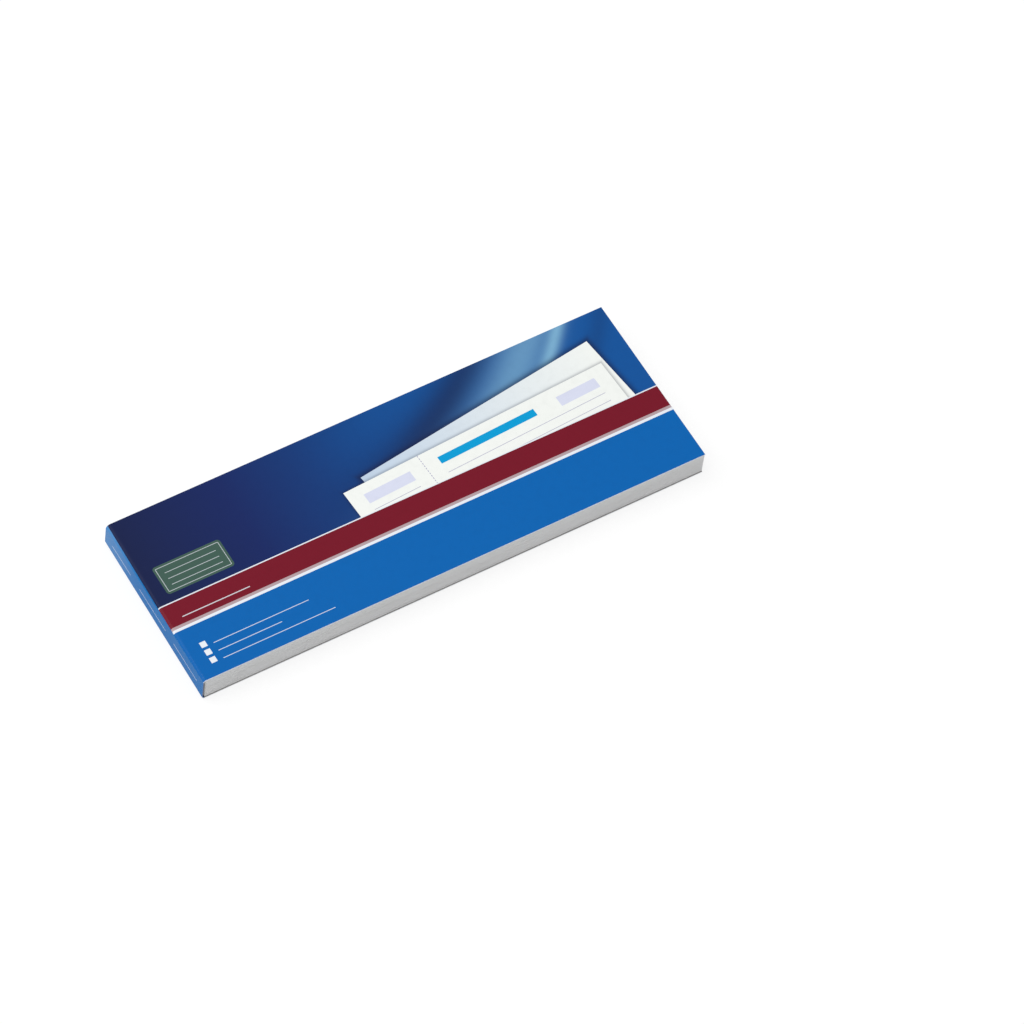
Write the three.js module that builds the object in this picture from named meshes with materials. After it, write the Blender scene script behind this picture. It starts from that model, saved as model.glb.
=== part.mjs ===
// A receipt book in strip format: a pad of forms glued at one short side into a folded card cover.
// X runs along the length from the spine, Y across the width and Z up from the table.
// The origin is the middle of the base, and every size is in millimetres.
import * as THREE from 'three';

// Closed book
const bookLength = 210;
const bookWidth = 74;

// Card cover, folded twice round the spine
const cardThickness = 0.3;
const foldRadius = 1; // outside of each fold
const foldClearance = 0.02; // between a fold and the strip over the spine
const foldSteps = 8;

// Pad: forms on a backing board, trimmed a little inside the cover
const padInset = 0.2;
const padClearance = 0.05; // between the pad and the card on either side
const boardThickness = 0.4;
const sheetThickness = 0.1;
const sheetGap = 0.005; // air between two sheets

// Padding glue between the spine and the pad
const glueClearance = 0.02; // to the sheets' edges, so that they can turn
const glueInset = 4; // from the pad's long edges

// How many forms there are, and how they are told apart
const sheetCount = 100;
const turningSheets = 9; // these turn with the cover, and the next one tears off
const singleSheets = 30; // below these, sheets are taken together
const bundleSheetCount = 10;

// Perforation between the stub and the receipt
const stubLength = 70; // from the spine end of the book
const slitWidth = 0.25;
const slitLength = 2.2;
const slitPitch = 3.3;

// Levels and edges that follow from the sizes above, measured from the base and from the spine
const foldInside = foldRadius - cardThickness;
const padStart = foldRadius; // the pad starts where the folds end
const padLength = bookLength - padStart - padInset;
const padWidth = bookWidth - 2 * padInset;
const padBase = cardThickness + padClearance;
const stackBase = padBase + boardThickness + sheetGap;
const sheetPitch = sheetThickness + sheetGap;
const padTop = stackBase + sheetCount * sheetPitch - sheetGap;
const bookHeight = padTop + padClearance + cardThickness;
const perforation = stubLength - padStart; // from the glued edge of a sheet

const coverBlue = new THREE.Color('#1f4a8c');
const backBlue = new THREE.Color('#1a5a9e');
const spineBlue = new THREE.Color('#5a94c2');
const glueWhite = new THREE.Color('#e9e6da');
const boardGrey = new THREE.Color('#9b958b');
const paperWhite = new THREE.Color('#f3f3f2');

function paint(color, roughness) {
  return new THREE.MeshStandardMaterial({ color, roughness, metalness: 0 });
}

function named(name, geometry, material) {
  const mesh = new THREE.Mesh(geometry, material);
  mesh.name = name;
  return mesh;
}

// An outline in X and Z, drawn out to the width of the piece
function acrossBook(points, width) {
  const depth = { depth: width, bevelEnabled: false };
  const geometry = new THREE.ExtrudeGeometry(new THREE.Shape(points), depth);
  return geometry.rotateX(Math.PI / 2).translate(0, width / 2, 0);
}

// Points on an arc about the middle of a fold, which lies one radius in from the spine
function foldArc(radius, from, to) {
  return Array.from({ length: foldSteps + 1 }, (_, step) => {
    const angle = from + ((to - from) * step) / foldSteps;
    return new THREE.Vector2(foldRadius + radius * Math.cos(angle), radius * Math.sin(angle));
  });
}

// One panel of the cover with its quarter-round fold. The outline stands on the fold's lower end;
// side is 1 for the front panel and -1 for the back one, which is its mirror image.
function coverPanel(name, material, side) {
  const outline = [
    ...foldArc(foldRadius, Math.PI, Math.PI / 2),
    new THREE.Vector2(bookLength, foldRadius),
    new THREE.Vector2(bookLength, foldInside),
    ...foldArc(foldInside, Math.PI / 2, Math.PI),
  ];
  const points = outline.map((point) => new THREE.Vector2(point.x, side * point.y));
  return named(name, acrossBook(points, bookWidth), material);
}

// The strip between the two folds
function spineStrip() {
  const height = bookHeight - 2 * (foldRadius + foldClearance);
  const geometry = new THREE.BoxGeometry(cardThickness, bookWidth, height);
  geometry.translate(cardThickness / 2, 0, bookHeight / 2);
  return named('spine_cover', geometry, paint(spineBlue, 0.45));
}

// The glue fills the space between the strip and the sheets, rounded off inside both folds
function spineGlue() {
  const radius = foldInside - padClearance;
  const crown = [
    new THREE.Vector2(cardThickness, 0),
    ...foldArc(radius, Math.PI, Math.acos(-glueClearance / radius)),
  ];
  const upper = crown.map((point) => new THREE.Vector2(point.x, bookHeight - foldRadius + point.y));
  const lower = crown.map((point) => new THREE.Vector2(point.x, foldRadius - point.y));
  const outline = [...upper, ...lower.reverse()];
  return named('spine_glue', acrossBook(outline, padWidth - 2 * glueInset), paint(glueWhite, 0.6));
}

// A flat piece of the pad whose origin is the middle of its left end, on its underside
function slab(name, length, thickness, material) {
  const geometry = new THREE.BoxGeometry(length, padWidth, thickness);
  return named(name, geometry.translate(length / 2, 0, thickness / 2), material);
}

// A whole form with the row of slits that its receipt tears off along
function perforatedSheet(name, material) {
  const half = padWidth / 2;
  const shape = new THREE.Shape();
  shape.moveTo(0, -half);
  shape.lineTo(padLength, -half);
  shape.lineTo(padLength, half);
  shape.lineTo(0, half);
  shape.closePath();
  const slits = Math.floor((padWidth - slitPitch) / slitPitch);
  for (let i = 0; i < slits; i += 1) {
    const middle = (i - (slits - 1) / 2) * slitPitch;
    const slit = new THREE.Path();
    slit.moveTo(perforation - slitWidth / 2, middle - slitLength / 2);
    slit.lineTo(perforation - slitWidth / 2, middle + slitLength / 2);
    slit.lineTo(perforation + slitWidth / 2, middle + slitLength / 2);
    slit.lineTo(perforation + slitWidth / 2, middle - slitLength / 2);
    slit.closePath();
    shape.holes.push(slit);
  }
  const depth = { depth: sheetThickness, bevelEnabled: false };
  return named(name, new THREE.ExtrudeGeometry(shape, depth), material);
}

function number(n) {
  return String(n).padStart(3, '0');
}

// Underside of a sheet above the underside of the lowest one. Sheet 1 is on top.
function level(n) {
  return (sheetCount - n) * sheetPitch;
}

function makeCover() {
  const cover = new THREE.Group();
  const front = coverPanel('front_cover', paint(coverBlue, 0.35), 1);
  front.position.z = bookHeight - foldRadius;
  const back = coverPanel('back_cover', paint(backBlue, 0.4), -1);
  back.position.z = foldRadius;
  cover.add(front, back, spineStrip());
  return cover;
}

function makeSheets() {
  const sheets = new THREE.Group();
  const paper = () => paint(paperWhite, 0.8);
  for (let n = 1; n <= turningSheets; n += 1) {
    const sheet = perforatedSheet(`sheet_${number(n)}`, paper());
    sheet.position.z = level(n);
    sheets.add(sheet);
  }
  const torn = turningSheets + 1;
  const stub = slab(`stub_${number(torn)}`, perforation - slitWidth / 2, sheetThickness, paper());
  stub.position.z = level(torn);
  const receiptStart = perforation + slitWidth / 2;
  const receipt = slab(`receipt_${number(torn)}`, padLength - receiptStart, sheetThickness, paper());
  receipt.position.set(receiptStart, 0, level(torn));
  sheets.add(stub, receipt);
  for (let n = torn + 1; n <= singleSheets; n += 1) {
    const sheet = slab(`sheet_${number(n)}`, padLength, sheetThickness, paper());
    sheet.position.z = level(n);
    sheets.add(sheet);
  }
  for (let first = singleSheets + 1; first <= sheetCount; first += bundleSheetCount) {
    const last = Math.min(first + bundleSheetCount - 1, sheetCount);
    const thickness = (last - first + 1) * sheetPitch - sheetGap;
    const name = `sheets_${number(first)}_to_${number(last)}`;
    const bundle = slab(name, padLength, thickness, paper());
    bundle.position.z = level(last);
    sheets.add(bundle);
  }
  return sheets;
}

function makePad() {
  const pad = new THREE.Group();
  const board = slab('backing_board', padLength, boardThickness, paint(boardGrey, 0.9));
  board.position.z = padBase;
  const sheets = makeSheets();
  sheets.position.z = stackBase;
  pad.add(board, sheets);
  pad.position.x = padStart;
  return pad;
}

const book = new THREE.Group();
book.add(makeCover(), spineGlue(), makePad());
book.position.x = -bookLength / 2;

export default book;
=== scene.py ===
"""Looks of the receipt book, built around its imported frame.

Lengths are in metres, unless a name ends in _MM.
"""

import math
import random
from collections import namedtuple

import bpy
from mathutils import Matrix, Vector


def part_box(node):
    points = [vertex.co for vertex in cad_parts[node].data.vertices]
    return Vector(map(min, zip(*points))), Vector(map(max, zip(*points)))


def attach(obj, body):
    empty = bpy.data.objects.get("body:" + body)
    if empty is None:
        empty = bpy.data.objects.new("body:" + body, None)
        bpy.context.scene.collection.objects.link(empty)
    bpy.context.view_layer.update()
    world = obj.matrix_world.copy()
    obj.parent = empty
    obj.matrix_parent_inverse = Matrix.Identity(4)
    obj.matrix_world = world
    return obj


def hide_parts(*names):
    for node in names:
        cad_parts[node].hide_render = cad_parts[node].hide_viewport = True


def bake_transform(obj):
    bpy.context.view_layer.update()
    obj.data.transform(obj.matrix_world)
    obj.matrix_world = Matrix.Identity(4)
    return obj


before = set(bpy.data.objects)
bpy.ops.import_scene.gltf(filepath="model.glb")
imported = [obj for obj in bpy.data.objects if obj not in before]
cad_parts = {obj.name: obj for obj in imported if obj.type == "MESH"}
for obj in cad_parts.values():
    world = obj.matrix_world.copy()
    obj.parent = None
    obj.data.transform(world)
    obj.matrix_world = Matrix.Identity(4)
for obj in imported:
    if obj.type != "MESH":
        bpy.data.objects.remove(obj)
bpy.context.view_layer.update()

MM = 0.001

# Places read from the frame
front_low, front_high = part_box("front_cover")
back_low, back_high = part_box("back_cover")
spine_low, spine_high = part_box("spine_cover")
first_low, first_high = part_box("sheet_001")
stub_low, stub_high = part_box("stub_010")
receipt_low, receipt_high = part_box("receipt_010")
glue_low, glue_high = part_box("spine_glue")

LEFT, RIGHT = front_low.x, front_high.x
NEAR, FAR = front_low.y, front_high.y
CARD = spine_high.x - spine_low.x
FOLD = front_high.z - front_low.z  # outside radius of a fold, at the near end

# The forms, counted from the top. The tenth one tears off.
TURNING_FORMS = range(1, 10)
SINGLE_FORMS = range(11, 31)  # each is a solid of its own
BUNDLE = 10  # forms to a solid below them
BUNDLE_STARTS = range(31, 100, BUNDLE)

# Perforation, as in the solids
SLIT_WIDTH = receipt_low.x - stub_high.x
SLIT_LENGTH = 2.2 * MM
SLIT_PITCH = 3.3 * MM
PERFORATION = (receipt_low.x + stub_high.x) / 2
TIE_GAP = 0.01 * MM  # the halves of a torn paper tie stop this far before its middle

# How the paper and card bend next to the spine
PAGE_CURL = 17 * MM  # length of page that bends when it is turned
SPINE_SKEW = 1.2 * MM  # the spine lies this much further in at its far end
SKEW_REACH = 20 * MM  # this far from the spine the book is square again
FAR_FOLD = 1.8 * MM  # the folds are rounder at the far end

# How card, paper and glue were cut and brushed
CARD_BEVEL = 0.1 * MM  # the knife rounds the print's edge down, and the card's core shows there
TRIM_SPREAD = 0.09 * MM  # how far the cut edges of the sheets stray
BUNCH_SHARE = 0.3  # of the spread, either way, for all sheets of a piece together
SHEET_SHARE = 0.5  # and for one sheet
EDGE_SHARE = 0.25  # and along the edges of one sheet
SHEET_FILL = 0.95  # share of its layer that a sheet fills, under a little air
GLUE_DIP_MM = 0.06  # how uneven the glue is
PAD_SEED = 11
GLUE_SEED = 5

# How finely the pieces are meshed
ACROSS_STEPS = 20
FOLD_STEPS = 12
NEAR_FOLD = 3 * MM  # length next to the fold where a panel's mesh is finer
NEAR_FOLD_STEPS = 8
PANEL_STEPS = 48
SPINE_STEPS = 12
GLUE_STEPS = 24
GLUE_TURN_STEPS = 8
PAGE_CURL_STEPS = 20
STUB_STEPS = 5
RECEIPT_STEPS = 12
TORN_STEPS = 14
LONG_EDGE_STEPS = 16
END_EDGE_STEPS = 8
SHARP_ANGLE = math.radians(35)

# Faces of a piece: its outer and inner side and its cut edges
OUTER, INNER, CUT = 0, 1, 2

# Camera of the photograph, found from the corners of the closed book
VIEW_AZIMUTH = -37.82
VIEW_ELEVATION = 56.27
VIEW_ROLL = 8.56
VIEW_DISTANCE = 2.548
VIEW_AIM = Vector((0.034, -0.0197, 0))
VIEW_LENS_MM = 246.2
SENSOR_MM = 36
VIEW_CLIP = (0.05, 20)

# Light from all round, and the floor as the camera sees it: a glow and a grey that together are white
WORLD_LIGHT = 0.46
FLOOR_GLOW = 0.8
FLOOR_FADE = (0.45, 1.1)  # from the book, where the floor turns to glow alone
FLOOR_HALF = 3
FLOOR_LEVEL = -0.02 * MM
LAMP_PLACE = (-1.05, 0.82, 2.25)
LAMP_SIZE = 3.2
LAMP_POWER = 54


def rgb(red, green, blue):
    """A colour as it shows on screen, from 0 to 255, as Blender's linear colour."""
    def linear(value):
        v = value / 255
        return v / 12.92 if v <= 0.04045 else ((v + 0.055) / 1.055) ** 2.4
    return (linear(red), linear(green), linear(blue), 1)


# Printing inks
NAVY = rgb(18, 29, 70)
DEEP_BLUE = rgb(20, 38, 96)
MID_BLUE = rgb(15, 66, 132)
OPEN_BLUE = rgb(16, 84, 156)
PALE_LIGHT = rgb(150, 205, 232)
FIELD_BLUE = rgb(3, 101, 180)
DARK_RED = rgb(119, 18, 38)
WARM_GREY = rgb(184, 162, 167)
PRINT_WHITE = rgb(238, 243, 250)
LABEL_GREEN = rgb(66, 94, 84)
# The spine's two blues are painted light: the spine is printed in the field blue, and these lighter blues
# stand in for the light and sheen that fall on it
SPINE_BLUE = rgb(4, 112, 184)
SPINE_PAINTED_LIGHT = rgb(80, 140, 200)
SLIP_WHITE = rgb(249, 252, 248)
SLIP_CYAN = rgb(3, 160, 218)
SLIP_SHADE = rgb(196, 214, 234)
BAR_BLUE = rgb(24, 140, 214)
LINE_BLUE = rgb(92, 132, 184)
LINE_LILAC = rgb(168, 166, 196)
BAND_LILAC = rgb(222, 226, 246)
SCUFF = rgb(206, 214, 226)

# Paper, card, board and glue, each with the tone of its fibres or clouds
PAPER = rgb(243, 243, 242)
PAPER_CLOUD = rgb(228, 229, 231)
PAPER_LAYER = rgb(214, 216, 220)
PAPER_EDGE = rgb(232, 235, 241)
SLIT_GREY = rgb(150, 150, 154)
CARD_INSIDE = rgb(236, 235, 231)
CARD_INSIDE_FLECK = rgb(206, 203, 196)
CARD_CORE = rgb(232, 240, 255)
CARD_CORE_FLECK = rgb(206, 202, 210)
# The spine strip's cut edges show this darker blue-grey core, where the panels show the pale one
FOLD_CORE = rgb(128, 140, 170)
FOLD_CORE_FLECK = rgb(100, 112, 142)
BOARD_GREY = rgb(112, 108, 104)
BOARD_FLECK = rgb(84, 78, 72)
GLUE = rgb(226, 222, 208)
GLUE_FLECK = rgb(196, 190, 172)

# The stage
BLACK = (0, 0, 0, 1)
WHITE = (1, 1, 1, 1)
FLOOR_PAINT = rgb(240, 240, 240)
FLOOR_SEEN = rgb(132, 132, 132)

# Sockets of Blender's Mix node where it mixes colours
MIX_SHARE, MIX_UNDER, MIX_OVER, MIX_RESULT = 0, 6, 7, 2


class Nodes:
    """A node tree with short calls for its arithmetic."""

    def __init__(self, tree):
        self.tree = tree

    def node(self, kind, **settings):
        made = self.tree.nodes.new(kind)
        for key, value in settings.items():
            setattr(made, key, value)
        return made

    def feed(self, socket, value):
        """Links a socket's value, and sets a plain number or colour."""
        if isinstance(value, bpy.types.NodeSocket):
            self.tree.links.new(value, socket)
        else:
            socket.default_value = value

    def math(self, operation, *values):
        made = self.node("ShaderNodeMath", operation=operation)
        for socket, value in zip(made.inputs, values):
            self.feed(socket, value)
        return made.outputs[0]

    def either(self, masks):
        """The highest of the masks at each point."""
        total = masks[0]
        for mask in masks[1:]:
            total = self.math("MAXIMUM", total, mask)
        return total

    def seen(self):
        """1 for the rays that show the background: straight, mirrored or through glass."""
        path = self.node("ShaderNodeLightPath")
        return self.either([path.outputs[f"Is {kind} Ray"] for kind in ("Camera", "Glossy", "Transmission")])


class Paint(Nodes):
    """A material whose nodes draw the print or the fibres of a surface."""

    def __init__(self, name):
        self.material = bpy.data.materials.new(name)
        self.material.use_nodes = True
        super().__init__(self.material.node_tree)
        self.surface = self.tree.nodes["Principled BSDF"]

    def inside(self, value, low, high):
        """1 where value lies between low and high."""
        return self.math("COMPARE", value, (low + high) / 2, (high - low) / 2)

    def rectangle(self, x, y, left, right, upper, lower):
        return self.math("MULTIPLY", self.inside(x, left, right), self.inside(y, upper, lower))

    def distance(self, across, down):
        """Length of a step whose two parts are given."""
        squares = [self.math("MULTIPLY", part, part) for part in (across, down)]
        return self.math("SQRT", self.math("ADD", *squares))

    def hill(self, value, centre, width):
        """A soft hill of height 1 where value is near centre."""
        offset = self.math("DIVIDE", self.math("SUBTRACT", value, centre), width)
        return self.math("POWER", math.e, self.math("MULTIPLY", self.math("MULTIPLY", offset, offset), -1))

    def fade(self, value, start, end):
        """Climbs smoothly from 0 at start to 1 at end."""
        made = self.node("ShaderNodeMapRange", interpolation_type="SMOOTHSTEP")
        self.feed(made.inputs["Value"], value)
        made.inputs["From Min"].default_value = start
        made.inputs["From Max"].default_value = end
        return made.outputs[0]

    def spread(self, value, low, high):
        """value, from 0 to 1, taken to the span from low to high."""
        return self.math("MULTIPLY_ADD", value, high - low, low)

    def mix(self, under, over, share):
        made = self.node("ShaderNodeMix", data_type="RGBA")
        self.feed(made.inputs[MIX_SHARE], share)
        self.feed(made.inputs[MIX_UNDER], under)
        self.feed(made.inputs[MIX_OVER], over)
        return made.outputs[MIX_RESULT]

    def ramp(self, value, stops):
        """Blends from colour to colour. stops gives the place and colour of each, from 0 to 1."""
        made = self.node("ShaderNodeValToRGB")
        self.feed(made.inputs[0], value)
        elements = made.color_ramp.elements
        for place, _ in stops[1:-1]:
            elements.new(place)
        for element, (_, colour) in zip(elements, stops):
            element.color = colour
        return made.outputs[0]

    def noise(self, place, scale, detail, roughness=0.5):
        made = self.node("ShaderNodeTexNoise")
        self.feed(made.inputs["Vector"], place)
        made.inputs["Scale"].default_value = scale
        made.inputs["Detail"].default_value = detail
        made.inputs["Roughness"].default_value = roughness
        return made.outputs[0]

    def stretch(self, place, scale):
        made = self.node("ShaderNodeMapping")
        self.feed(made.inputs["Vector"], place)
        made.inputs["Scale"].default_value = scale
        return made.outputs[0]

    def solid_place(self):
        """The point on the piece in millimetres."""
        point = self.node("ShaderNodeTexCoord").outputs["Object"]
        return self.stretch(point, (1 / MM, 1 / MM, 1 / MM))

    def print_place(self):
        """Millimetres from the spine and from the far edge, as the sheet or card was printed flat."""
        flat = self.node("ShaderNodeUVMap", uv_map="print")
        parts = self.node("ShaderNodeSeparateXYZ")
        self.feed(parts.inputs[0], flat.outputs[0])
        return parts.outputs[0], parts.outputs[1], flat.outputs[0]

    def shade(self, colour, roughness, specular, height=None, depth=0):
        """Finishes the surface. height is its relief, from 0 to 1, and depth how deep that goes."""
        self.feed(self.surface.inputs["Base Color"], colour)
        self.feed(self.surface.inputs["Roughness"], roughness)
        self.surface.inputs["Specular IOR Level"].default_value = specular
        if height is not None:
            bump = self.node("ShaderNodeBump")
            bump.inputs["Distance"].default_value = depth
            self.feed(bump.inputs["Height"], height)
            self.feed(self.surface.inputs["Normal"], bump.outputs[0])
        return self.material


# Layout of the cover in millimetres, x from the spine and y from the far edge
COVER_LENGTH_MM = (RIGHT - LEFT) / MM
COVER_WIDTH_MM = (FAR - NEAR) / MM
RULE_MM = (39.42, 39.88)
RED_MM = (39.88, 49.25)
GREY_MM = (49.25, 50.4)
WHITE_MM = (50.4, 51.5)
TITLE_RULE_MM = (6.7, 34.4, 46.4, 46.8)
BULLET_X_MM = (6.4, 8.8)
BULLET_Y_MM = (59.1, 62.7, 66.3)
BULLET_SIZE_MM = 2.4
NOTE_START_MM = 11.2
NOTE_LENGTHS_MM = (39, 26, 46)
NOTE_THICKNESS_MM = 0.3
RULE_INK = 0.75  # how strongly the thin rules are printed

# Label with a thin border and ruled lines
LABEL_MM = (6.7, 34.4, 23.7, 36.2)
LABEL_CORNER_MM = 1.3
LABEL_BORDER_MM = (0.9, 1.15)  # from the label's edge
LABEL_LINES_MM = (27.4, 30.1, 32.8)
LABEL_LINE_MM = 0.25
LABEL_LINE_INSET_MM = 3.4
LABEL_INK = 0.6

# Spine, and the edge of the panels where its own colour begins
SPINE_EDGE_MM = 1.8  # at the far edge
SPINE_EDGE_SLOPE = 0.03  # the print sits askew on the fold
SPINE_PAINTED_LIGHT_MM = 30  # painted light: the spine's ink is painted paler up to here from the far edge
SPINE_RULES_MM = ((5.5, 19.5), (26, 46), (52, 69.5))  # from the far edge
SPINE_RULE_HEIGHT_MM = 5.7  # from the table
SPINE_RULE_MM = 0.34

# Where the cover is rubbed: the middle of each stretch and how wide it is
RUBBED_FOLD_MM = (0.4, 0.9)
RUBBED_END_MM = (COVER_LENGTH_MM, 0.35)
RUBBED_SIDES_MM = ((0, 0.3), (COVER_WIDTH_MM, 0.3))
RUBBED_FOLD_SHARE = 0.6  # against the cut edges
RUBBED_INK = 0.35

# Colours of the cover's upper field along its length, from 0 to 1
FIELD_COLOURS = ((0, NAVY), (0.22, DEEP_BLUE), (0.47, MID_BLUE), (0.7, OPEN_BLUE), (1, OPEN_BLUE))

# Soft arcs of light over the cover's upper field: radius and width of each, its strength and its colour
ARC_CENTRE_MM = (60, -110)
ARC_START_MM = (70, 125)  # the arcs fade in between these places along the cover
ARCS = (
    (122, 13, 0.45, OPEN_BLUE),
    (143, 8, 0.7, NAVY),
    (161, 9, 0.42, PALE_LIGHT),
    (171, 2.6, 0.6, PALE_LIGHT),
    (186, 4, 0.25, NAVY),
)

# Two blank slips drawn on the cover, one over the other. A slip's corner is its upper left one, its tone
# the paper's colour at that end, and its shadow's width and strength are those of a soft edge round it.
Slip = namedtuple("Slip", "corner tilt length tone shadow_width shadow_strength")
BACK_SLIP = Slip((93, 24.5), math.radians(7.5), 105, SLIP_SHADE, 1.6, 0.7)
FRONT_SLIP = Slip((84, 27.5), math.radians(3), 113, SLIP_WHITE, 0.9, 0.4)
SLIP_HEIGHT_MM = 60

# What is drawn on the front slip, along it and down from its upper left corner
SLIP_BOXES_MM = ((6, 26, 4.2, 8.6), (90, 107, 4.2, 8.6))
SLIP_BAR_MM = (38, 80, 4.2, 7.4)
SLIP_LINE_ENDS_MM = ((38, 107), (6, 26))
SLIP_LINES_MM = (11.6, 15.4)
SLIP_LINE_MM = 0.26
SLIP_LINE_INK = 0.8
SLIP_TEAR_MM = (31.8, 32.1)
SLIP_DASH_PITCH_MM = 1.2
SLIP_DASH_SHARE = 0.6


def slip_place(paint, x, y, slip):
    """Place on a tilted slip, measured along it and down from its upper left corner."""
    across = paint.math("SUBTRACT", x, slip.corner[0])
    under = paint.math("SUBTRACT", y, slip.corner[1])
    cos, sin = math.cos(slip.tilt), math.sin(slip.tilt)
    along = paint.math("SUBTRACT", paint.math("MULTIPLY", across, cos), paint.math("MULTIPLY", under, sin))
    down = paint.math("ADD", paint.math("MULTIPLY", across, sin), paint.math("MULTIPLY", under, cos))
    return along, down


def slip_shadow(paint, along, down, slip):
    """Soft shade round a slip's outline, at its full strength next to it."""
    half = slip.length / 2
    beside = paint.math("SUBTRACT", paint.math("ABSOLUTE", paint.math("SUBTRACT", along, half)), half)
    away = paint.either([beside, paint.math("MULTIPLY", down, -1), 0])
    return paint.math("MULTIPLY", paint.hill(away, 0, slip.shadow_width), slip.shadow_strength)


def lay_slip(paint, x, y, colour, slip):
    """Draws a blank slip with its shadow over colour. Returns the drawing and the place on the slip."""
    along, down = slip_place(paint, x, y, slip)
    colour = paint.mix(colour, NAVY, slip_shadow(paint, along, down, slip))
    paper = paint.mix(slip.tone, SLIP_WHITE, paint.math("DIVIDE", along, slip.length))
    colour = paint.mix(colour, paper, paint.rectangle(along, down, 0, slip.length, 0, SLIP_HEIGHT_MM))
    return colour, along, down


def slip_art(paint, along, down, colour):
    """What the front slip shows: two boxes, ruled lines, a dashed line to tear along and a bar."""
    boxes = [paint.rectangle(along, down, *box) for box in SLIP_BOXES_MM]
    colour = paint.mix(colour, BAND_LILAC, paint.either(boxes))
    lines = [
        paint.rectangle(along, down, *ends, at, at + SLIP_LINE_MM)
        for ends in SLIP_LINE_ENDS_MM
        for at in SLIP_LINES_MM
    ]
    colour = paint.mix(colour, LINE_LILAC, paint.math("MULTIPLY", paint.either(lines), SLIP_LINE_INK))
    place_in_dash = paint.math("FRACT", paint.math("DIVIDE", down, SLIP_DASH_PITCH_MM))
    dashes = paint.math("LESS_THAN", place_in_dash, SLIP_DASH_SHARE)
    tear_line = paint.rectangle(along, down, *SLIP_TEAR_MM, 0, SLIP_HEIGHT_MM)
    colour = paint.mix(colour, LINE_LILAC, paint.math("MULTIPLY", dashes, tear_line))
    return paint.mix(colour, SLIP_CYAN, paint.rectangle(along, down, *SLIP_BAR_MM))


def field_art(paint, x, y):
    """A blue field with soft arcs of light."""
    colour = paint.ramp(paint.math("DIVIDE", x, COVER_LENGTH_MM), FIELD_COLOURS)
    from_centre = [paint.math("SUBTRACT", part, centre) for part, centre in zip((x, y), ARC_CENTRE_MM)]
    reach = paint.distance(*from_centre)
    begun = paint.fade(x, *ARC_START_MM)
    for radius, width, strength, light in ARCS:
        share = paint.math("MULTIPLY", paint.hill(reach, radius, width), strength)
        colour = paint.mix(colour, light, paint.math("MULTIPLY", share, begun))
    return colour


def rounded_box(paint, x, y, inset):
    """1 inside the label's rounded outline, drawn in by inset."""
    left, right, upper, lower = LABEL_MM
    past = []
    for place, start, end in ((x, left, right), (y, upper, lower)):
        from_middle = paint.math("ABSOLUTE", paint.math("SUBTRACT", place, (start + end) / 2))
        straight = (end - start) / 2 - LABEL_CORNER_MM
        past.append(paint.math("MAXIMUM", paint.math("SUBTRACT", from_middle, straight), 0))
    return paint.math("LESS_THAN", paint.distance(*past), LABEL_CORNER_MM - inset)


def label_art(paint, x, y, colour):
    """A plain label with a thin border and three ruled lines."""
    colour = paint.mix(colour, LABEL_GREEN, rounded_box(paint, x, y, 0))
    outer, inner = (rounded_box(paint, x, y, inset) for inset in LABEL_BORDER_MM)
    border = paint.math("SUBTRACT", outer, inner)
    left, right = LABEL_MM[0] + LABEL_LINE_INSET_MM, LABEL_MM[1] - LABEL_LINE_INSET_MM
    lines = [paint.rectangle(x, y, left, right, at, at + LABEL_LINE_MM) for at in LABEL_LINES_MM]
    return paint.mix(colour, PRINT_WHITE, paint.math("MULTIPLY", paint.either([border, *lines]), LABEL_INK))


def note_rules(paint, x, y):
    """Thin rules beside the bullets and on the red band, in place of words."""
    rules = [paint.rectangle(x, y, *TITLE_RULE_MM)]
    for at, length in zip(BULLET_Y_MM, NOTE_LENGTHS_MM):
        foot = at + BULLET_SIZE_MM
        ends = (NOTE_START_MM, NOTE_START_MM + length)
        rules.append(paint.rectangle(x, y, *ends, foot - NOTE_THICKNESS_MM, foot))
    return paint.either(rules)


# The spine's blue with its painted light: paler towards the far edge, and lighter all along than the field
# blue that it is printed in
def spine_ink_with_painted_light(paint, y):
    return paint.mix(SPINE_PAINTED_LIGHT, SPINE_BLUE, paint.fade(y, 0, SPINE_PAINTED_LIGHT_MM))


def worn(paint, colour, x, y, flat):
    """Faint rubbing along the fold and at the cut edges, where the ink is lifted in small flecks."""
    fold = paint.math("MULTIPLY", paint.hill(x, *RUBBED_FOLD_MM), RUBBED_FOLD_SHARE)
    sides = paint.math("ADD", *[paint.hill(y, *side) for side in RUBBED_SIDES_MM])
    edges = paint.math("ADD", paint.hill(x, *RUBBED_END_MM), sides)
    flecks = paint.fade(paint.noise(flat, scale=2.4, detail=6, roughness=0.7), start=0.54, end=0.7)
    rubbed = paint.math("MULTIPLY", paint.math("ADD", edges, fold), flecks)
    return paint.mix(colour, SCUFF, paint.math("MULTIPLY", rubbed, RUBBED_INK))


def coated(paint, colour, flat, specular=0.1):
    """Satin coated card: even ink, a faint mottle and a very fine tooth."""
    mottle = paint.noise(flat, scale=0.35, detail=5)
    tooth = paint.noise(flat, scale=9, detail=3)
    inked = paint.mix(colour, BLACK, paint.spread(mottle, low=-0.06, high=0.07))
    rough = paint.spread(paint.noise(flat, scale=1.6, detail=4), low=0.3, high=0.42)
    return paint.shade(inked, rough, specular, height=tooth, depth=0.012 * MM)


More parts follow.
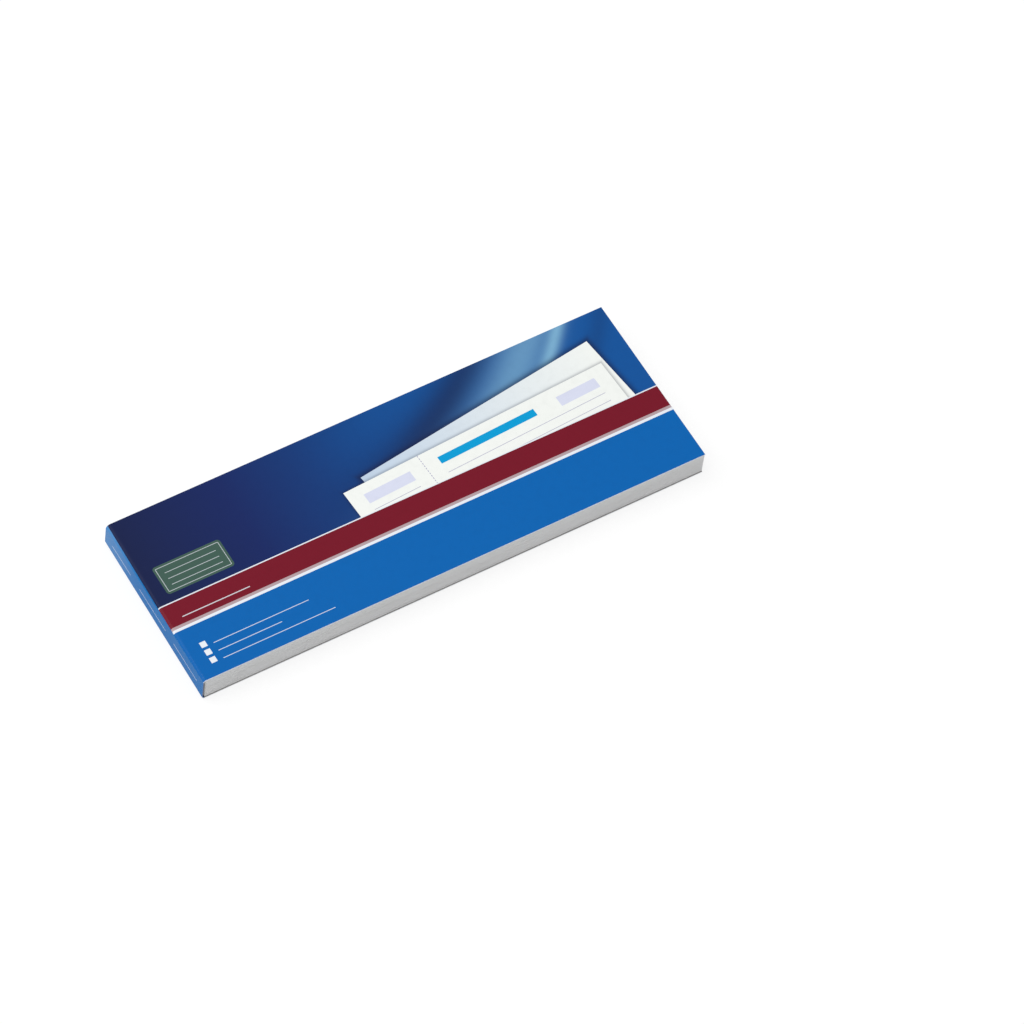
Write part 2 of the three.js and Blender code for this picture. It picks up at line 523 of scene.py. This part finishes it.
def front_print():
    paint = Paint("front_cover_print")
    x, y, flat = paint.print_place()
    colour = field_art(paint, x, y)
    colour, _, _ = lay_slip(paint, x, y, colour, BACK_SLIP)
    colour, along, down = lay_slip(paint, x, y, colour, FRONT_SLIP)
    colour = slip_art(paint, along, down, colour)
    colour = label_art(paint, x, y, colour)
    for band, ink in (
        (RULE_MM, PRINT_WHITE),
        (RED_MM, DARK_RED),
        (GREY_MM, WARM_GREY),
        (WHITE_MM, PRINT_WHITE),
    ):
        colour = paint.mix(colour, ink, paint.inside(y, *band))
    colour = paint.mix(colour, FIELD_BLUE, paint.math("GREATER_THAN", y, WHITE_MM[1]))
    bullets = [paint.rectangle(x, y, *BULLET_X_MM, at, at + BULLET_SIZE_MM) for at in BULLET_Y_MM]
    colour = paint.mix(colour, PRINT_WHITE, paint.either(bullets))
    colour = paint.mix(colour, PRINT_WHITE, paint.math("MULTIPLY", note_rules(paint, x, y), RULE_INK))
    # The fold takes the spine's blue with its painted light
    skewed = paint.math("MULTIPLY_ADD", y, SPINE_EDGE_SLOPE, x)
    colour = paint.mix(colour, spine_ink_with_painted_light(paint, y), paint.math("LESS_THAN", skewed, SPINE_EDGE_MM))
    return coated(paint, worn(paint, colour, x, y, flat), flat)


def spine_print():
    """Blue, with painted light that makes it paler towards the far edge, and three plain rules. Its place in
    the print is the height on the spine.
    """
    paint = Paint("spine_print")
    height, y, flat = paint.print_place()
    cloud = paint.noise(flat, scale=0.05, detail=2)
    colour = paint.mix(spine_ink_with_painted_light(paint, y), FIELD_BLUE, paint.spread(cloud, low=0, high=0.2))
    low, high = SPINE_RULE_HEIGHT_MM - SPINE_RULE_MM / 2, SPINE_RULE_HEIGHT_MM + SPINE_RULE_MM / 2
    rules = paint.either([paint.rectangle(height, y, low, high, *ends) for ends in SPINE_RULES_MM])
    colour = paint.mix(colour, PRINT_WHITE, paint.math("MULTIPLY", rules, RULE_INK))
    return coated(paint, colour, flat, specular=0.05)


def back_print():
    """The hidden back carries on the blue fields with one pale rule."""
    paint = Paint("back_cover_print")
    x, y, flat = paint.print_place()
    colour = paint.mix(FIELD_BLUE, MID_BLUE, paint.math("DIVIDE", x, 2 * COVER_LENGTH_MM))
    colour = paint.mix(colour, PRINT_WHITE, paint.inside(y, *WHITE_MM))
    colour = paint.mix(colour, NAVY, paint.math("LESS_THAN", y, WHITE_MM[0]))
    # The fold takes the spine's blue with its painted light
    colour = paint.mix(colour, spine_ink_with_painted_light(paint, y), paint.math("LESS_THAN", x, SPINE_EDGE_MM))
    return coated(paint, colour, flat)


# Fibres of card, board and paper
FIBRE_LIE = (1, 4, 4)  # they are this much finer in each direction, and so run along the first
DARK_FIBRES = 0.64  # the noise above this is a dark fibre
DARK_FIBRE_TONE = 0.3
LAYER_LIE = (0.06, 0.06, 14)  # the layers of a cut edge lie flat


def fibrous(name, colour, fleck, roughness, grain=1, bends=False):
    """Uncoated card, board or glue: cloudy formation with short darker fibres.

    A piece that bends keeps its fibres where they are in the print, and others have them through the solid.
    """
    paint = Paint(name)
    place = paint.print_place()[2] if bends else paint.solid_place()
    cloud = paint.noise(place, scale=0.26 * grain, detail=5)
    fibres = paint.noise(paint.stretch(place, FIBRE_LIE), scale=0.9 * grain, detail=2, roughness=0.7)
    tone = paint.mix(colour, fleck, paint.spread(cloud, low=-0.1, high=0.5))
    dark_fibres = paint.math("GREATER_THAN", fibres, DARK_FIBRES)
    tone = paint.mix(tone, fleck, paint.math("MULTIPLY", dark_fibres, DARK_FIBRE_TONE))
    return paint.shade(tone, roughness, specular=0.25, height=fibres, depth=0.03 * MM)


# Layout of a form in millimetres, x from the spine and y from the far edge
FORM_LEFT_MM = 18.8
FORM_RIGHT_MM = 204.4
BAR_MM = (34.2, 189.4, 6.9, 12.8)
FORM_TOP_MM = 13.2
FIRST_ROW_MM = 6.6
ROW_MM = 6.08
ROWS = 8
BAND_ROWS = (3, 5)
SHORT_ROWS = (7, 8)
SHORT_RIGHT_MM = 159.5
THIN_MM = 0.26
THICK_MM = 0.36
SLIT_INK = 0.8


def row_line(n):
    """Distance of ruled line n from the far edge. Line 0 is the top of the box."""
    return FORM_TOP_MM + (FIRST_ROW_MM + (n - 1) * ROW_MM if n else 0)


def slit_places(low, high):
    """Middles of the slits across a form."""
    count = math.floor((high.y - low.y - SLIT_PITCH) / SLIT_PITCH)
    return [(i - (count - 1) / 2) * SLIT_PITCH for i in range(count)]


def slit_marks(paint, x, y):
    """The row of slits between stub and receipt, as seen on the sheets that lie below."""
    pitch, half = SLIT_PITCH / MM, SLIT_LENGTH / MM / 2
    middle = COVER_WIDTH_MM / 2
    reach = (len(slit_places(first_low, first_high)) - 1) / 2 * pitch + half
    at, wide = (PERFORATION - LEFT) / MM, SLIT_WIDTH / MM / 2
    from_slit = paint.math("WRAP", paint.math("SUBTRACT", y, middle), pitch / 2, -pitch / 2)
    dash = paint.math("LESS_THAN", paint.math("ABSOLUTE", from_slit), half)
    row = paint.rectangle(x, y, at - wide, at + wide, middle - reach, middle + reach)
    return paint.math("MULTIPLY", dash, row)


def paper_tone(paint, flat):
    """White offset paper with a faint cloudy look-through."""
    cloud = paint.noise(flat, scale=0.6, detail=6, roughness=0.6)
    return paint.mix(PAPER, PAPER_CLOUD, paint.spread(cloud, low=-0.1, high=0.35))


def paper_finish(paint, colour, flat):
    tooth = paint.noise(flat, scale=4, detail=4)
    return paint.shade(colour, roughness=0.75, specular=0.3, height=tooth, depth=0.02 * MM)


def form_print():
    """The printed side of a form: a bar over a ruled box, with a pale band between its thick lines."""
    paint = Paint("form_print")
    x, y, flat = paint.print_place()
    colour = paper_tone(paint, flat)
    band_upper, band_lower = (row_line(n) for n in BAND_ROWS)
    band = paint.rectangle(x, y, FORM_LEFT_MM, FORM_RIGHT_MM, band_upper, band_lower)
    colour = paint.mix(colour, BAND_LILAC, band)
    thin, thick = [], []
    for n in range(ROWS + 1):
        right = SHORT_RIGHT_MM if n in SHORT_ROWS else FORM_RIGHT_MM
        lines, width = (thick, THICK_MM) if n in BAND_ROWS else (thin, THIN_MM)
        at = row_line(n)
        lines.append(paint.rectangle(x, y, FORM_LEFT_MM, right, at - width / 2, at + width / 2))
    foot = row_line(ROWS)
    thin.append(paint.rectangle(x, y, FORM_LEFT_MM, FORM_LEFT_MM + THIN_MM, FORM_TOP_MM, foot))
    thin.append(paint.rectangle(x, y, SHORT_RIGHT_MM - THIN_MM, SHORT_RIGHT_MM, row_line(ROWS - 2), foot))
    colour = paint.mix(colour, LINE_LILAC, paint.either(thin))
    colour = paint.mix(colour, LINE_BLUE, paint.either(thick))
    colour = paint.mix(colour, BAR_BLUE, paint.rectangle(x, y, *BAR_MM))
    colour = paint.mix(colour, SLIT_GREY, paint.math("MULTIPLY", slit_marks(paint, x, y), SLIT_INK))
    return paper_finish(paint, colour, flat)


def blank_paper():
    """The unprinted side of a form."""
    paint = Paint("blank_paper")
    flat = paint.print_place()[2]
    return paper_finish(paint, paper_tone(paint, flat), flat)


def cut_paper():
    """The cut edges of the sheets, which differ a little from sheet to sheet."""
    paint = Paint("cut_paper")
    place = paint.solid_place()
    layers = paint.noise(paint.stretch(place, LAYER_LIE), scale=1, detail=2, roughness=0.6)
    cloud = paint.noise(place, scale=0.42, detail=5)
    tone = paint.mix(PAPER, PAPER_LAYER, paint.spread(layers, low=-0.12, high=0.5))
    tone = paint.mix(tone, PAPER_EDGE, paint.spread(cloud, low=0, high=0.35))
    return paint.shade(tone, roughness=0.8, specular=0.2, height=cloud, depth=0.01 * MM)


def make_piece(name, vertices, faces, slots, kinds, flats=None):
    """A mesh piece. kinds gives each face's material, and flats each corner's place in the print."""
    mesh = bpy.data.meshes.new(name)
    mesh.from_pydata(vertices, [], faces)
    for material in slots:
        mesh.materials.append(material)
    mesh.polygons.foreach_set("material_index", kinds)
    if flats is not None:
        layer = mesh.uv_layers.new(name="print")
        for loop in mesh.loops:
            layer.data[loop.index].uv = flats[loop.vertex_index]
    mesh.shade_smooth()
    mesh.set_sharp_from_angle(angle=SHARP_ANGLE)
    mesh.validate()
    piece = bpy.data.objects.new(name, mesh)
    bpy.context.scene.collection.objects.link(piece)
    return piece


def shell(name, rows, slots, holes=(), bevels=(), printed=0):
    """A closed sheet from a grid of (outer corner, inner corner, place in print).

    holes names the cells that are left open, and bevels the outer cells that show the cut. In the first
    printed rows of cells, the inner side is like the outer one.
    """
    across = len(rows[0])
    count = len(rows) * across
    vertices = [cell[0] for row in rows for cell in row] + [cell[1] for row in rows for cell in row]
    flats = [cell[2] for row in rows for cell in row] * 2
    faces, kinds = [], []
    rims = {}  # edges of one cell alone, in the order that they were met
    for i in range(len(rows) - 1):
        for j in range(across - 1):
            if (i, j) in holes:
                continue
            a, b = i * across + j, i * across + j + 1
            c, d = b + across, a + across
            faces.append((a, b, c, d))
            kinds.append(CUT if (i, j) in bevels else OUTER)
            faces.append((d + count, c + count, b + count, a + count))
            kinds.append(OUTER if i < printed else INNER)
            for p, q in ((a, b), (b, c), (c, d), (d, a)):
                if (q, p) in rims:
                    del rims[(q, p)]
                else:
                    rims[(p, q)] = True
    for p, q in rims:
        faces.append((q, p, p + count, q + count))
        kinds.append(CUT)
    return make_piece(name, vertices, faces, slots, kinds, flats)


def steps(start, end, count):
    return [start + (end - start) * i / count for i in range(count + 1)]


def flat_place(x, y):
    return ((x - LEFT) / MM, (FAR - y) / MM)


def sheared(x, y):
    """x moved in where it is near the spine, which isn't quite square to the book's sides."""
    share = max(0, 1 - (x - LEFT) / SKEW_REACH)
    return x + SPINE_SKEW * share * (y - NEAR) / (FAR - NEAR)


def fold_radius(y):
    return FOLD + (FAR_FOLD - FOLD) * (y - NEAR) / (FAR - NEAR)


def fold_end(y):
    """Where the flat of a panel starts."""
    return sheared(LEFT, y) + fold_radius(y)


def fold_point(y, turn, level, side):
    """Outer and inner corner of a fold at y, and its place in the print. turn is 0 at the spine."""
    radius = fold_radius(y)
    normal = Vector((-math.cos(turn), 0, side * math.sin(turn)))
    outer = Vector((fold_end(y), y, level - side * radius)) + radius * normal
    unrolled = radius * (math.pi / 2 - turn)
    return outer, outer - CARD * normal, flat_place(fold_end(y) - unrolled, y)


def card_across():
    """Places across the card, with its two bevels as the first and last step."""
    return [NEAR] + steps(NEAR + CARD_BEVEL, FAR - CARD_BEVEL, ACROSS_STEPS) + [FAR]


def bevelled(rows, ends):
    """Draws the outer corners of the grid's sides down over the core, and with ends those of its end too.

    Returns the cells that then show the cut.
    """
    last_row, last_column = len(rows) - 1, len(rows[0]) - 1
    cells = set()
    for i, row in enumerate(rows):
        for j, (outer, inner, flat) in enumerate(row):
            if j in (0, last_column) or (ends and i == last_row):
                row[j] = (outer.lerp(inner, CARD_BEVEL / CARD), inner, flat)
            if j in (0, last_column - 1) or (ends and i == last_row - 1):
                cells.add((i, j))
    return cells


def card_panel(name, level, side, slots):
    """A cover panel with its fold. level is its outer face, and side is 1 above the pad and -1 under it."""
    across = card_across()[::-side]
    turns = steps(0, math.pi / 2, FOLD_STEPS)
    rows = [[fold_point(y, turn, level, side) for y in across] for turn in turns]
    start = LEFT + FOLD
    lengthwise = steps(start, start + NEAR_FOLD, NEAR_FOLD_STEPS)[1:]
    lengthwise += steps(start + NEAR_FOLD, RIGHT - CARD_BEVEL, PANEL_STEPS)[1:] + [RIGHT]
    for place in lengthwise:
        row = []
        for y in across:
            x = RIGHT - (RIGHT - place) * (RIGHT - fold_end(y)) / (RIGHT - start)
            row.append((Vector((x, y, level)), Vector((x, y, level - side * CARD)), flat_place(x, y)))
        rows.append(row)
    printed = FOLD_STEPS if side < 0 else 0  # the inside of the back's fold shows when it is open
    return shell(name, rows, slots, bevels=bevelled(rows, True), printed=printed)


def spine_strip(slots):
    """The card over the spine, between the two folds."""
    rows = []
    for share in steps(0, 1, SPINE_STEPS):
        row = []
        for y in card_across()[::-1]:
            x, radius = sheared(LEFT, y), fold_radius(y)
            z = back_low.z + radius + share * (front_high.z - back_low.z - 2 * radius)
            row.append((Vector((x, y, z)), Vector((x + CARD, y, z)), (z / MM, (FAR - y) / MM)))
        rows.append(row)
    return shell("spine_card", rows, slots, bevels=bevelled(rows, False))


def glue_layer(slots):
    """The padding glue between the spine card and the sheets, rounded off inside both folds."""
    chance = random.Random(GLUE_SEED)
    vertices, faces = [], []
    sections = steps(glue_low.y, glue_high.y, GLUE_STEPS)
    for y in sections:
        left, right = sheared(LEFT, y) + CARD, sheared(glue_high.x, y)
        crown = []
        for turn in steps(0, math.pi / 2, GLUE_TURN_STEPS):
            rise = (glue_high.z - front_low.z) * math.sin(turn) - chance.uniform(0, GLUE_DIP_MM) * MM
            crown.append((right - (right - left) * math.cos(turn), rise))
        radius = fold_radius(y)
        loop = [(x, front_high.z - radius + rise) for x, rise in crown]
        loop += [(x, back_low.z + radius - rise) for x, rise in reversed(crown)]
        vertices += [(x, y, z) for x, z in loop]
    count = len(vertices) // len(sections)
    for k in range(len(sections) - 1):
        for i in range(count):
            a, b = k * count + i, k * count + (i + 1) % count
            faces.append((a, b, b + count, a + count))
    faces.append(tuple(range(count)))
    faces.append(tuple(reversed(range(len(vertices) - count, len(vertices)))))
    return make_piece("spine_glue_layer", vertices, faces, slots, [OUTER] * len(faces))


def paper_grid(xs, ys, under, over):
    """Rows of a form's upper and lower corners with their place in the print, from the far edge on."""
    rows = []
    for place in xs:
        row = []
        for y in ys[::-1]:
            x = sheared(place, y)
            row.append((Vector((x, y, over)), Vector((x, y, under)), flat_place(x, y)))
        rows.append(row)
    return rows


def perforated(name, low, high, xs, column, slots, slits):
    """A form, or a part of one, from its places xs. The slits lie open in the given column of cells."""
    slit_ends = [middle + half for middle in slits for half in (-SLIT_LENGTH / 2, SLIT_LENGTH / 2)]
    ys = [low.y, *slit_ends, high.y]
    holes = {(column, 2 * k + 1) for k in range(len(slits))}
    return shell(name, paper_grid(xs, ys, low.z, high.z), slots, holes)


def page(name, low, high, slots, slits):
    """One form with the row of slits between its stub and its receipt."""
    stub = steps(low.x, low.x + PAGE_CURL, PAGE_CURL_STEPS)
    stub += steps(low.x + PAGE_CURL, PERFORATION - SLIT_WIDTH / 2, STUB_STEPS)[1:]
    receipt = steps(PERFORATION + SLIT_WIDTH / 2, high.x, RECEIPT_STEPS)
    return perforated(name, low, high, stub + receipt, len(stub) - 1, slots, slits)


def torn_part(name, low, high, slots, slits, tooth_side):
    """The stub or the receipt of the form that tears off, with the halves of the paper ties as teeth."""
    tooth = SLIT_WIDTH / 2 - TIE_GAP
    xs = steps(low.x, high.x, TORN_STEPS)
    if tooth_side > 0:
        return perforated(name, low, high, xs + [high.x + tooth], TORN_STEPS, slots, slits)
    return perforated(name, low, high, [low.x - tooth] + xs, 0, slots, slits)


def stray(chance, share):
    """A random offset either way, up to a share of the spread between sheets."""
    return chance.uniform(-share, share) * TRIM_SPREAD


def trimmed_outline(low, high, chance, shift):
    """Outline of one trimmed sheet whose cut edges stray a little. Its glued edge stays in place."""
    near, far = low.y + shift[1], high.y + shift[1]
    right = high.x + shift[0]
    outline = [(x, near + stray(chance, EDGE_SHARE)) for x in steps(low.x, right, LONG_EDGE_STEPS)[:-1]]
    outline += [(right + stray(chance, EDGE_SHARE), y) for y in steps(near, far, END_EDGE_STEPS)[:-1]]
    outline += [(x, far + stray(chance, EDGE_SHARE)) for x in steps(right, low.x, LONG_EDGE_STEPS)[:-1]]
    outline.append((low.x, far))
    return [(sheared(x, y), y) for x, y in outline]


def stack(name, nodes, sheets, chance, slots):
    """Sheets lying on each other in place of the named nodes, each cut a little differently."""
    boxes = [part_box(node) for node in nodes]
    low, high = (corner.copy() for corner in boxes[0])
    low.z = min(box_low.z for box_low, _ in boxes)
    high.z = max(box_high.z for _, box_high in boxes)
    pitch = (high.z - low.z) / sheets
    bunch = (stray(chance, BUNCH_SHARE), stray(chance, BUNCH_SHARE))
    vertices, faces, kinds, flats = [], [], [], []
    for n in range(sheets):
        shift = [part + stray(chance, SHEET_SHARE) for part in bunch]
        outline = trimmed_outline(low, high, chance, shift)
        under, over = low.z + n * pitch, low.z + (n + SHEET_FILL) * pitch
        start, count = len(vertices), len(outline)
        vertices += [(x, y, under) for x, y in outline] + [(x, y, over) for x, y in outline]
        flats += [flat_place(x, y) for x, y in outline] * 2
        faces.append([start + count + i for i in range(count)])
        kinds.append(OUTER)
        faces.append([start + i for i in reversed(range(count))])
        kinds.append(INNER)
        for i in range(count):
            j = (i + 1) % count
            faces.append((start + i, start + j, start + count + j, start + count + i))
            kinds.append(CUT)
    piece = make_piece(name, vertices, faces, slots, kinds, flats)
    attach(piece, "book")
    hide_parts(*nodes)


def build_cover():
    """The folded card: both panels with their folds, and the strip of card over the spine."""
    inside = fibrous("card_inside", CARD_INSIDE, CARD_INSIDE_FLECK, roughness=0.7, bends=True)
    core = fibrous("card_core", CARD_CORE, CARD_CORE_FLECK, roughness=0.85, bends=True)
    front = card_panel("front_cover_card", front_high.z, 1, [front_print(), inside, core])
    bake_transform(front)
    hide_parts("front_cover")
    back = card_panel("back_cover_card", back_low.z, -1, [back_print(), inside, core])
    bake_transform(back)
    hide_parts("back_cover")
    # The spine strip's cut edges get a darker blue-grey core than the panels' cut edges
    darker_strip_core = fibrous("fold_core", FOLD_CORE, FOLD_CORE_FLECK, roughness=0.85, bends=True)
    spine = spine_strip([spine_print(), inside, darker_strip_core])
    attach(spine, "book")
    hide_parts("spine_cover")


def build_turning_forms(slots, slits):
    for n in TURNING_FORMS:
        node = f"sheet_{n:03d}"
        low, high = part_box(node)
        form = page(f"form_{n:03d}", low, high, slots, slits)
        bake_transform(form)
        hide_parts(node)


def build_torn_form(slots, slits):
    stub = torn_part("form_010_stub", stub_low, stub_high, slots, slits, 1)
    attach(stub, "book")
    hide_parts("stub_010")
    receipt = torn_part("form_010_receipt", receipt_low, receipt_high, slots, slits, -1)
    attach(receipt, "receipt")
    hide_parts("receipt_010")


def build_pad():
    slots = [form_print(), blank_paper(), cut_paper()]
    slits = slit_places(first_low, first_high)
    build_turning_forms(slots, slits)
    build_torn_form(slots, slits)
    chance = random.Random(PAD_SEED)
    singles = [f"sheet_{n:03d}" for n in SINGLE_FORMS]
    stack("forms_011_to_030", singles, len(singles), chance, slots)
    for first in BUNDLE_STARTS:
        span = f"{first:03d}_to_{first + BUNDLE - 1:03d}"
        stack(f"forms_{span}", [f"sheets_{span}"], BUNDLE, chance, slots)
    board = fibrous("grey_board", BOARD_GREY, BOARD_FLECK, roughness=0.9, grain=0.5, bends=True)
    stack("board_plate", ["backing_board"], 1, chance, [board] * 3)


def build_glue():
    glue = glue_layer([fibrous("padding_glue", GLUE, GLUE_FLECK, roughness=0.45)])
    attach(glue, "book")
    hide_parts("spine_glue")


def floor_paint():
    """White to the camera but for the book's shadow, and plain white far away. As a light, pale grey."""
    paint = Paint("floor_paint")
    seen = paint.seen()
    away = paint.node("ShaderNodeVectorMath", operation="LENGTH")
    paint.feed(away.inputs[0], paint.node("ShaderNodeTexCoord").outputs["Object"])
    far = paint.math("MULTIPLY", paint.fade(away.outputs["Value"], *FLOOR_FADE), seen)
    glow = paint.math("MULTIPLY_ADD", far, 1 - FLOOR_GLOW, paint.math("MULTIPLY", seen, FLOOR_GLOW))
    paint.feed(paint.surface.inputs["Emission Color"], WHITE)
    paint.feed(paint.surface.inputs["Emission Strength"], glow)
    shaded = paint.mix(FLOOR_PAINT, FLOOR_SEEN, seen)
    return paint.shade(paint.mix(shaded, BLACK, far), roughness=0.95, specular=0)


def build_stage():
    mesh = bpy.data.meshes.new("floor")
    sides = ((-1, -1), (1, -1), (1, 1), (-1, 1))
    corners = [(FLOOR_HALF * x, FLOOR_HALF * y, FLOOR_LEVEL) for x, y in sides]
    mesh.from_pydata(corners, [], [(0, 1, 2, 3)])
    mesh.materials.append(floor_paint())
    floor = bpy.data.objects.new("floor", mesh)
    bpy.context.scene.collection.objects.link(floor)


def build_lamp():
    """A large soft lamp that faces the book."""
    light = bpy.data.lights.new("key", "AREA")
    light.shape = "DISK"
    light.size = LAMP_SIZE
    light.energy = LAMP_POWER
    lamp = bpy.data.objects.new("key", light)
    lamp.location = LAMP_PLACE
    lamp.rotation_euler = (-Vector(LAMP_PLACE)).to_track_quat("-Z", "Y").to_euler()
    bpy.context.scene.collection.objects.link(lamp)


def build_world():
    """Light from all round, which is white to the camera and softer as a light."""
    world = bpy.data.worlds.new("studio")
    world.use_nodes = True
    bpy.context.scene.world = world
    sky = Nodes(world.node_tree)
    background = sky.tree.nodes["Background"]
    background.inputs["Color"].default_value = WHITE
    strength = sky.math("MULTIPLY_ADD", sky.seen(), 1 - WORLD_LIGHT, WORLD_LIGHT)
    sky.feed(background.inputs["Strength"], strength)


def build_camera():
    azimuth, elevation, roll = (math.radians(v) for v in (VIEW_AZIMUTH, VIEW_ELEVATION, VIEW_ROLL))
    back = Vector((
        math.sin(azimuth) * math.cos(elevation),
        -math.cos(azimuth) * math.cos(elevation),
        math.sin(elevation),
    ))
    level = Vector((math.cos(azimuth), math.sin(azimuth), 0))
    up = back.cross(level)
    right = math.cos(roll) * level + math.sin(roll) * up
    upright = math.cos(roll) * up - math.sin(roll) * level
    data = bpy.data.cameras.new("camera")
    data.sensor_width = SENSOR_MM
    data.lens = VIEW_LENS_MM
    data.clip_start, data.clip_end = VIEW_CLIP
    camera = bpy.data.objects.new("camera", data)
    turned = Matrix((right, upright, back)).transposed().to_4x4()
    camera.matrix_world = Matrix.Translation(VIEW_AIM + VIEW_DISTANCE * back) @ turned
    bpy.context.scene.collection.objects.link(camera)
    bpy.context.scene.camera = camera


build_camera()
build_stage()
build_lamp()
build_world()
build_cover()
build_pad()
build_glue()

bpy.context.scene.view_settings.view_transform = "Standard"
bpy.context.view_layer.update()
